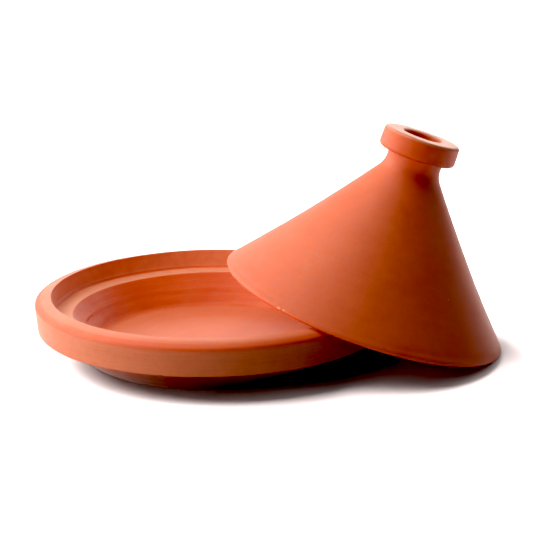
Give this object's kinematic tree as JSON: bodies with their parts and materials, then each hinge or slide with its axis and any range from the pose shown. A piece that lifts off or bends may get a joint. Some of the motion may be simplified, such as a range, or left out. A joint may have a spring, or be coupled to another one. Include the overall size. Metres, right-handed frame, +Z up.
{
  "type": "tagine pot",
  "caption": "Unglazed terracotta tagine: shallow cooking dish with a lid ledge, and a conical lid with a hollow collar grip, set down beside the dish and leaning on its rim.",
  "frame": {"origin": "centre of the dish's foot, on the table", "axes": "+Z up, +X from the dish towards the leaning lid; the XZ plane is the plane of symmetry"},
  "size_m": [0.395, 0.2998, 0.1918],
  "materials": {
    "terracotta": "matte unglazed"
  },
  "bodies": {
    "dish": {"dish": "terracotta"},
    "lid": {"lid_cone": "terracotta", "lid_collar": "terracotta"}
  },
  "joints": [
    {"name": "lid_lift", "type": "slide", "parent": "dish", "child": "lid", "axis": [0, 0, 1], "range_m": [0, 0.2]}
  ]
}
